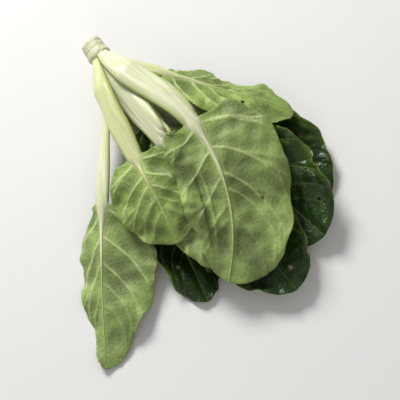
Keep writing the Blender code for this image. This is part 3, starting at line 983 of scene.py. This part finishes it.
def settled_lift(inner, outer, s, lower):
    """How far each point of the blade must rise, so that its bumps clear the blades under it."""
    rows, columns = s.shape
    few = np.minimum(inner, outer)[::2, ::2]
    need = np.zeros(few.shape[:2])
    down = Vector((0, 0, -1))
    for i, j in np.argwhere(s[::2, ::2] > BLADE_START + 0.005):
        x, y, z = few[i, j]
        for tree in lower:
            hit = tree.ray_cast(Vector((x, y, z + REACH_UP)), down, REACH_UP + SPARE)[0]
            if hit is not None:
                need[i, j] = max(need[i, j], hit.z + SPARE - z)
    lift = smooth_above(need, 14, rooted=False)[..., None]
    i, j = np.meshgrid(np.arange(rows), np.arange(columns), indexing="ij")
    lift = read_between(lift, np.arange(0, rows, 2), np.arange(0, columns, 2), i, j)[..., 0]
    return lift * ramp(BLADE_START, BLADE_START + 0.02, s)


def sewn_faces(gone):
    """The four-sided faces of both sides of a leaf, and of the wall along every open edge."""
    rows, columns = gone.shape[0] + 1, gone.shape[1] + 1
    count = rows * columns
    number = np.arange(count).reshape(rows, columns)
    kept = ~gone
    a, b = number[:-1, :-1][kept], number[:-1, 1:][kept]
    c, d = number[1:, 1:][kept], number[1:, :-1][kept]
    top = np.stack([a, d, c, b], axis=1)
    under = np.stack([a, b, c, d], axis=1) + count
    edges = np.concatenate([top[:, [k, (k + 1) % 4]] for k in range(4)])
    known = dict.fromkeys(map(tuple, edges.tolist()))
    rim = np.array([(u, w) for u, w in known if (w, u) not in known])
    wall = np.stack([rim[:, 1], rim[:, 0], rim[:, 0] + count, rim[:, 1] + count], axis=1)
    return np.concatenate([top, under, wall])


def point_mask(mesh, name, values):
    """Keeps a number for each point in the mesh, where a material can read it."""
    kept = mesh.attributes.new(name, "FLOAT", "POINT")
    kept.data.foreach_set("value", values.ravel().astype(np.float32))


def leaf_object(index, lower):
    """The finished leaf's object, and how far it had to rise."""
    inner, outer, masks, gone, flat = fine_leaf(index)
    lift = settled_lift(inner, outer, masks["along"], lower)
    inner[..., 2] += lift
    outer[..., 2] += lift
    faces = sewn_faces(gone)
    points = raise_to_floor(np.concatenate([inner.reshape(-1, 3), outer.reshape(-1, 3)]))
    used = np.unique(faces)
    renumber = np.zeros(len(points), int)
    renumber[used] = np.arange(len(used))
    faces = renumber[faces]
    name = f"leaf_{index + 1:02d}"
    mesh = bpy.data.meshes.new(name)
    mesh.vertices.add(len(used))
    mesh.vertices.foreach_set("co", points[used].ravel())
    mesh.loops.add(faces.size)
    mesh.loops.foreach_set("vertex_index", faces.ravel())
    mesh.polygons.add(len(faces))
    mesh.polygons.foreach_set("loop_start", np.arange(len(faces)) * 4)
    mesh.polygons.foreach_set("use_smooth", np.ones(len(faces), bool))
    mesh.update(calc_edges=True)
    for title, values in masks.items():
        point_mask(mesh, title, np.tile(values.ravel(), 2)[used])
    point_mask(mesh, "inner", used < len(points) // 2)
    metric = np.tile(flat.reshape(-1, 2), (2, 1))[used]
    uv = mesh.uv_layers.new(name="flat_leaf")
    uv.data.foreach_set("uv", (metric[faces.ravel()] * 5 + (0, 0.5)).ravel())
    return in_scene(name, mesh), lift


leaves, lower = [None] * len(LEAVES), []
for index in order_of_laying():
    made, lift = leaf_object(index, lower)
    corners_now = [v.co for v in made.data.vertices]
    lower.append(BVHTree.FromPolygons(corners_now, [p.vertices for p in made.data.polygons]))
    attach(made, "root")
    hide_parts(f"leaf_{index + 1:02d}_stalk", f"leaf_{index + 1:02d}_blade")
    leaves[index] = made
    print(made.name, "settled by up to", round(float(lift.max() / MM), 2), "mm")
triangles = [2 * len(made.data.polygons) for made in leaves]
print("triangles:", sum(triangles), " most:", max(triangles))

# %% [markdown]
# ## The stem
#
# All that is left of the stem is a stub as thick as a thumb's nail is wide, cut flat with a
# knife. Older leaves that were pulled off left ridges on its skin, each of which goes only
# part of the way round. The cut has dried: a brown rim, a paler ring of vessels, and a pith
# that has sunk a little. A profile turned round the axis gives the stub, and the ridges and
# some noise take away its machined look.

# %% Stem
# Places along the axis and radii, in millimetres
STUB_PROFILE = (
    (-9.2, 0.0), (-9.2, 2.2), (-9.5, 3.6), (-9.75, 5.0), (-9.95, 6.0), (-9.8, 6.6), (-9.2, 7.0),
    (-8.0, 7.1), (-5.0, 7.2), (-2.6, 7.5), (-0.8, 8.0), (0.8, 8.3), (2.2, 7.9), (3.8, 6.6),
    (8.0, 5.2), (16.0, 4.0), (24.0, 2.4), (27.0, 0.0),
)
STUB_ROWS, STUB_COLUMNS = 190, 96
# Each scar's place along the axis in millimetres, where it is round the stem, and its reach
SCARS = (
    (-7.9, 0.4, 1.5), (-7.1, 2.6, 1.3), (-6.2, 4.6, 1.4), (-4.9, 1.3, 1.7), (-4.1, 5.6, 1.4),
    (-2.9, 3.4, 1.8),
)


def scars(x, angle):
    """The ridges left by leaves that were pulled off, with a groove beside each."""
    total = np.zeros(x.shape)
    for place, middle, reach in SCARS:
        away = np.abs((angle - middle + math.pi) % (2 * math.pi) - math.pi)
        bow = place * MM + 0.7 * MM * (away / reach) ** 2
        there = 1 - ramp(0.7 * reach, reach, away)
        total += np.exp(-(((x - bow) / (0.32 * MM)) ** 2)) * there
        total -= 0.7 * np.exp(-(((x - bow - 0.6 * MM) / (0.35 * MM)) ** 2)) * there
    return total


def stem_object():
    size = (STUB_ROWS, STUB_COLUMNS)
    knots = np.array(STUB_PROFILE)
    way = np.concatenate([[0], np.cumsum(np.hypot(*np.diff(knots, axis=0).T))])
    t = np.linspace(0, way[-1], STUB_ROWS)
    x, r = np.interp(t, way, knots[:, 0]) * MM, np.interp(t, way, knots[:, 1]) * MM
    angle = np.linspace(0, 2 * math.pi, STUB_COLUMNS, endpoint=False)
    x, r, angle = (np.broadcast_to(line, size) for line in (x[:, None], r[:, None], angle))
    lumps = 0.34 * MM * np.sin(2 * angle + 1.0 + 60 * x) + 0.14 * MM * np.sin(5 * angle + 130 * x)
    lumps = lumps + 0.12 * MM * ripple(x, r * angle, 2.2 * MM, 3) + 0.20 * MM * scars(x, angle)
    on_skin = ramp(4.5 * MM, 6.8 * MM, r)
    r = r + lumps * on_skin
    x = x + (1 - on_skin) * 0.12 * MM * ripple(r * np.cos(angle), r * np.sin(angle), 1.6 * MM, 5)
    points = np.stack([x, r * np.sin(angle), AXIS_HEIGHT + r * np.cos(angle)], axis=-1) + OFFSET
    number = np.arange(x.size).reshape(x.shape)
    a, b = number[:-1], np.roll(number[:-1], -1, axis=1)
    c, d = np.roll(number[1:], -1, axis=1), number[1:]
    faces = np.stack([a, b, c, d], axis=-1).reshape(-1, 4)[:, ::-1]
    mesh = bpy.data.meshes.new("stem_stub")
    mesh.from_pydata(points.reshape(-1, 3).tolist(), [], faces.tolist())
    mesh.polygons.foreach_set("use_smooth", np.ones(len(faces), bool))
    point_mask(mesh, "from_axis", r / (7.5 * MM))
    point_mask(mesh, "cut", 1 - ramp(-9.9 * MM, -9.0 * MM, x) * on_skin)
    return in_scene("stem_stub", mesh)


stem = stem_object()
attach(stem, "root")
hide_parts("stem")
print("stub faces:", len(stem.data.polygons))

# %% [markdown]
# ## Finishes
#
# Leaf tissue is a thin wet sheet: some light bounces off its wax, some soaks in and comes out
# green on either side. One shader does both, with scattering below the surface. What makes it
# a bok choy leaf is in the pattern: a net of ever finer veins, a dark glossy inner face, a
# duller outer face whose veins are paler, and a stalk that goes from white to green along
# its edges. The patterns that several finishes share are node groups.

# %% Helpers for nodes


def add(tree, kind, inputs=(), **settings):
    """Adds a node, sets its settings, and joins or sets its inputs."""
    made = tree.nodes.new(kind)
    for name, value in settings.items():
        setattr(made, name, value)
    for name, value in dict(inputs).items():
        socket = made.inputs[name]
        if isinstance(value, bpy.types.NodeSocket):
            tree.links.new(value, socket)
        else:
            socket.default_value = value
    return made


def calc(tree, operation, a, b=0.5, clamp=False):
    return add(tree, "ShaderNodeMath", {0: a, 1: b}, operation=operation, use_clamp=clamp).outputs[0]


def blend(tree, share, a, b):
    """Colour a where share is 0 and colour b where it is 1."""
    return add(tree, "ShaderNodeMix", {0: share, 6: a, 7: b}, data_type="RGBA").outputs[2]


def painted(tree, base, layers):
    """The base colour with layers on it: each a mask, how strongly it shows, and its colour."""
    for where, strength, paint in layers:
        base = blend(tree, calc(tree, "MULTIPLY", where, strength), base, paint)
    return base


def between(tree, value, low, high):
    """0 below low and 1 above high, smooth between them."""
    span = {"Value": value, "From Min": low, "From Max": high}
    return add(tree, "ShaderNodeMapRange", span, interpolation_type="SMOOTHSTEP").outputs[0]


def mask(tree, name):
    return add(tree, "ShaderNodeAttribute", attribute_name=name).outputs["Fac"]


def colour(r, g, b):
    return (r, g, b, 1.0)


def new_group(name, inputs, outputs):
    """An empty node group with its sockets. Inputs are (name, kind, value)."""
    group = bpy.data.node_groups.new(name, "ShaderNodeTree")
    for title, kind, value in inputs:
        socket = group.interface.new_socket(title, in_out="INPUT", socket_type=kind)
        if value is not None:
            socket.default_value = value
    for title, kind in outputs:
        group.interface.new_socket(title, in_out="OUTPUT", socket_type=kind)
    return group, group.nodes.new("NodeGroupInput"), group.nodes.new("NodeGroupOutput")


def pattern(tree, group, place, **values):
    """A shared pattern laid into this material, with values of its own: its outputs."""
    return add(tree, "ShaderNodeGroup", {"Place": place, **values}, node_tree=group).outputs


def new_material(name):
    made = bpy.data.materials.new(name)
    made.use_nodes = True
    made.node_tree.nodes.clear()
    return made, made.node_tree


def skinned(tree, **sockets):
    """The one shader of a material, joined to its output."""
    named = {title.replace("_", " "): value for title, value in sockets.items()}
    skin = add(tree, "ShaderNodeBsdfPrincipled", named)
    tree.links.new(skin.outputs[0], tree.nodes.new("ShaderNodeOutputMaterial").inputs[0])


# %% The net of fine veins
FLOAT, VECTOR = "NodeSocketFloat", "NodeSocketVector"


def noise(tree, place, scale, detail):
    return add(tree, "ShaderNodeTexNoise", {"Vector": place, "Scale": scale, "Detail": detail})


def vector(tree, operation, inputs):
    return add(tree, "ShaderNodeVectorMath", inputs, operation=operation).outputs[0]


def vein_net_group():
    """Two nets of lines, coarse and fine, and the pillows of tissue between them."""
    group, given, out = new_group(
        "vein net",
        [("Place", VECTOR, None), ("Cells", FLOAT, 58.0), ("Line", FLOAT, 0.06)],
        [("Coarse", FLOAT), ("Fine", FLOAT), ("Pillow", FLOAT)],
    )
    place = given.outputs["Place"]
    stir = noise(group, place, 30.0, 2.0).outputs["Color"]
    stir = vector(group, "SUBTRACT", {0: stir, 1: (0.5, 0.5, 0.5)})
    stir = vector(group, "SCALE", {0: stir, "Scale": 0.034})
    warped = vector(group, "ADD", {0: place, 1: stir})

    def net(cells, line):
        cell = add(
            group, "ShaderNodeTexVoronoi", {"Vector": warped, "Scale": cells},
            feature="DISTANCE_TO_EDGE", voronoi_dimensions="2D",
        ).outputs["Distance"]
        return cell, calc(group, "SUBTRACT", 1.0, between(group, cell, 0.0, line))

    where = noise(group, place, 11.0, 2.0).outputs[0]
    shown = calc(group, "MULTIPLY_ADD", between(group, where, 0.38, 0.64), 0.8)
    shown.node.inputs[2].default_value = 0.2
    far, coarse = net(given.outputs["Cells"], given.outputs["Line"])
    coarse = calc(group, "MULTIPLY", coarse, shown)
    finer_cells = calc(group, "MULTIPLY", given.outputs["Cells"], 2.7)
    _, fine = net(finer_cells, calc(group, "MULTIPLY", given.outputs["Line"], 1.3))
    fine = calc(group, "MULTIPLY", fine, shown)
    group.links.new(coarse, out.inputs["Coarse"])
    group.links.new(fine, out.inputs["Fine"])
    group.links.new(between(group, far, 0.0, 0.42), out.inputs["Pillow"])
    return group


def mottle_group():
    """Soft uneven patches, and small specks."""
    group, given, out = new_group(
        "mottle",
        [("Place", VECTOR, None), ("Patches", FLOAT, 8.0), ("Specks", FLOAT, 160.0)],
        [("Patch", FLOAT), ("Speck", FLOAT)],
    )
    patch = noise(group, given.outputs["Place"], given.outputs["Patches"], 6.0).outputs[0]
    speck = noise(group, given.outputs["Place"], given.outputs["Specks"], 2.0).outputs[0]
    group.links.new(between(group, patch, 0.32, 0.68), out.inputs["Patch"])
    group.links.new(between(group, speck, 0.60, 0.72), out.inputs["Speck"])
    return group


def strand_group():
    """Long thin streaks, as the strands that run up a stalk show through its skin."""
    group, given, out = new_group(
        "strands",
        [("Place", VECTOR, None), ("Count", FLOAT, 90.0)],
        [("Streak", FLOAT)],
    )
    stretched = vector(group, "MULTIPLY", {0: given.outputs["Place"], 1: (0.045, 1.0, 1.0)})
    streak = noise(group, stretched, given.outputs["Count"], 2.5)
    group.links.new(between(group, streak.outputs[0], 0.3, 0.7), out.inputs["Streak"])
    return group


vein_net, mottle, strands = vein_net_group(), mottle_group(), strand_group()
print("groups:", [g.name for g in bpy.data.node_groups])

# %% [markdown]
# ### The leaf finish
#
# Masks that were written with the mesh say what each point is: stalk or blade, inner face or
# outer face, vein, margin, wound, and how far its tissue bulges. The finish only mixes colours
# by them, so that its net and streaks always follow the form; by the bulge it paints shade into
# the outer face's hollows. The outer leaves are the oldest and darkest, and their stalks the
# whitest; inner stalks are still yellow-green.

# %% Leaf finish


def leaf_finish(name, dark, light, back, stalk_middle, stalk_edge):
    made, tree = new_material(name)
    place = add(tree, "ShaderNodeUVMap", uv_map="flat_leaf").outputs[0]
    net = pattern(tree, vein_net, place)
    patches = pattern(tree, mottle, place)
    patch, speck = patches["Patch"], patches["Speck"]
    streak = pattern(tree, strands, place)["Streak"]
    inner, stalk, vein = mask(tree, "inner"), mask(tree, "stalk"), mask(tree, "vein")
    margin, wound, along = mask(tree, "margin"), mask(tree, "wound"), mask(tree, "along")
    across = calc(tree, "ABSOLUTE", mask(tree, "across"))
    coarse, fine = net["Coarse"], net["Fine"]
    line = between(tree, vein, 0.12, 0.74)

    # Inner face: dark, its veins a little paler
    face = painted(tree, blend(tree, patch, dark, light), (
        (fine, 0.12, colour(0.10, 0.24, 0.03)),
        (coarse, 0.20, colour(0.14, 0.30, 0.05)),
        (line, 0.60, colour(0.30, 0.44, 0.10)),
    ))
    # Outer face: duller, its veins much paler, with painted shade in its hollows
    paler, painted_hollow_shade = (colour(*(share * c for c in back[:3])) for share in (1.7, 0.36))
    outer = painted(tree, blend(tree, patch, back, paler), (
        # Painted shade: where the outer face dips between its veins it is coloured darker, as if in
        # shadow
        (between(tree, mask(tree, "relief"), 0.20, 0.90), 0.60, painted_hollow_shade),
        (speck, 0.25, colour(0.05, 0.085, 0.02)),
        (fine, 0.24, colour(0.28, 0.38, 0.11)),
        (coarse, 0.44, colour(0.32, 0.43, 0.14)),
        (line, 0.80, colour(0.52, 0.60, 0.27)),
    ))
    blade = painted(tree, blend(tree, inner, outer, face), ((margin, 0.40, colour(0.26, 0.36, 0.07)),))
    # Stalk: white in the middle, green along its edges and towards the blade
    green = calc(tree, "ADD", between(tree, across, 0.55, 1.15), calc(tree, "MULTIPLY", along, 0.3), True)
    flesh = blend(tree, green, stalk_middle, stalk_edge)
    flesh = painted(tree, flesh, ((streak, 0.36, stalk_edge),))
    surface = blend(tree, between(tree, stalk, 0.15, 0.85), blade, flesh)
    surface = blend(tree, between(tree, wound, 0.1, 0.7), surface, colour(0.22, 0.19, 0.07))
    surface = blend(tree, between(tree, wound, 0.6, 0.98), surface, colour(0.085, 0.055, 0.025))

    shine = add(tree, "ShaderNodeMix", {0: inner, 2: 0.50, 3: 0.30}).outputs[0]
    shine = add(tree, "ShaderNodeMix", {0: stalk, 2: shine, 3: 0.34}).outputs[0]
    shine = calc(tree, "ADD", shine, calc(tree, "MULTIPLY", speck, 0.12))
    shine = calc(tree, "ADD", shine, calc(tree, "MULTIPLY", wound, 0.3), True)
    height = calc(tree, "SUBTRACT", net["Pillow"], calc(tree, "MULTIPLY", fine, 0.3))
    height = calc(tree, "MULTIPLY", height, calc(tree, "SUBTRACT", 1.0, stalk))
    height = calc(tree, "ADD", height, calc(tree, "MULTIPLY", streak, stalk))
    bump = add(tree, "ShaderNodeBump", {"Strength": 0.42, "Distance": 0.4 * MM, "Height": height})
    skinned(
        tree, Base_Color=surface, Roughness=shine, Normal=bump.outputs[0], Subsurface_Weight=0.30,
        Subsurface_Radius=(0.6, 1.0, 0.25), Subsurface_Scale=1.2 * MM, Specular_IOR_Level=0.35,
    )
    return made


YOUNG = (2, 3, 8, 10)
outer_leaf = leaf_finish(
    "outer leaf",
    dark=colour(0.006, 0.018, 0.002), light=colour(0.020, 0.050, 0.004),
    back=colour(0.200, 0.268, 0.080),
    stalk_middle=colour(0.80, 0.79, 0.58), stalk_edge=colour(0.33, 0.41, 0.10),
)
young_leaf = leaf_finish(
    "young leaf",
    dark=colour(0.018, 0.052, 0.005), light=colour(0.052, 0.112, 0.007),
    back=colour(0.185, 0.255, 0.060),
    stalk_middle=colour(0.72, 0.72, 0.42), stalk_edge=colour(0.34, 0.41, 0.09),
)
for index, made in enumerate(leaves):
    made.data.materials.append(young_leaf if index in YOUNG else outer_leaf)
print("young leaves:", [leaves[index].name for index in YOUNG])

# %% [markdown]
# ### The stem's finish
#
# The stub's skin is pale and stained. Its cut shows the stem from the inside, so its colours
# go by the distance from the axis: pith, a brownish line, the ring of vessels, the dried rim.

# %% Stem finish


def stem_finish():
    made, tree = new_material("stem")
    place = add(tree, "ShaderNodeTexCoord").outputs["Object"]
    stains = pattern(tree, mottle, place, Patches=420.0, Specks=1500.0)
    patch, speck = stains["Patch"], stains["Speck"]
    out, cut = mask(tree, "from_axis"), mask(tree, "cut")
    skin = blend(tree, patch, colour(0.54, 0.53, 0.31), colour(0.69, 0.68, 0.47))
    skin = painted(tree, skin, ((speck, 0.5, colour(0.32, 0.22, 0.09)),))
    pith = colour(0.62, 0.60, 0.38)
    for low, high, paint in (
        (0.45, 0.62, colour(0.46, 0.38, 0.18)),
        (0.66, 0.80, colour(0.66, 0.64, 0.40)),
        (0.86, 0.98, colour(0.26, 0.16, 0.06)),
    ):
        pith = blend(tree, between(tree, out, low, high), pith, paint)
    pith = painted(tree, pith, ((speck, 0.8, colour(0.22, 0.13, 0.05)),))
    surface = blend(tree, cut, skin, pith)
    rough = add(tree, "ShaderNodeMix", {0: cut, 2: 0.5, 3: 0.8}).outputs[0]
    bump = add(tree, "ShaderNodeBump", {"Strength": 0.4, "Distance": 0.3 * MM, "Height": patch})
    skinned(
        tree, Base_Color=surface, Roughness=rough, Normal=bump.outputs[0], Subsurface_Weight=0.2,
        Subsurface_Radius=(0.8, 1.0, 0.4), Subsurface_Scale=1.5 * MM,
    )
    return made


stem.data.materials.append(stem_finish())
print("materials:", [m.name for m in bpy.data.materials])

# %% [markdown]
# ## Floor and light
#
# A pale floor and one broad soft light from the upper left, with a weaker one opposite, show
# the form without harsh shadows. The white surroundings fill the shade, which is what gives
# leaves their cool sheen.

# %% Floor, lights and surroundings
LIT = (0, 0, 0.02)  # the place that both lights point at


def floor_object(half=2.5):
    mesh = bpy.data.meshes.new("floor")
    corners = [(-half, -half, 0), (half, -half, 0), (half, half, 0), (-half, half, 0)]
    mesh.from_pydata(corners, [], [(0, 1, 2, 3)])
    made = in_scene("floor", mesh)
    material = bpy.data.materials.new("pale floor")
    material.use_nodes = True
    shader = material.node_tree.nodes["Principled BSDF"]
    shader.inputs["Base Color"].default_value = colour(0.80, 0.79, 0.77)
    shader.inputs["Roughness"].default_value = 0.85
    shader.inputs["Specular IOR Level"].default_value = 0.2
    mesh.materials.append(material)
    return made


def soft_light(name, place, size, power):
    lamp = bpy.data.lights.new(name, "AREA")
    lamp.shape, lamp.size, lamp.energy = "DISK", size, power
    made = in_scene(name, lamp)
    made.location = place
    made.rotation_euler = (Vector(LIT) - made.location).to_track_quat("-Z", "Y").to_euler()


floor_object()
soft_light("key light", (-1.05, 0.0, 0.85), 0.5, 20)
soft_light("fill light", (0.9, -0.9, 0.9), 1.0, 3)
world = bpy.data.worlds.new("white room")
bpy.context.scene.world = world
world.use_nodes = True
world.node_tree.nodes["Background"].inputs[0].default_value = colour(1.0, 1.0, 1.0)
world.node_tree.nodes["Background"].inputs[1].default_value = 0.33
bpy.context.scene.view_settings.view_transform = "Standard"

# %% Sizes, and the end
print("CAD box ", [tuple(round(c * 1000, 1) for c in corner) for corner in CAD_BOX])
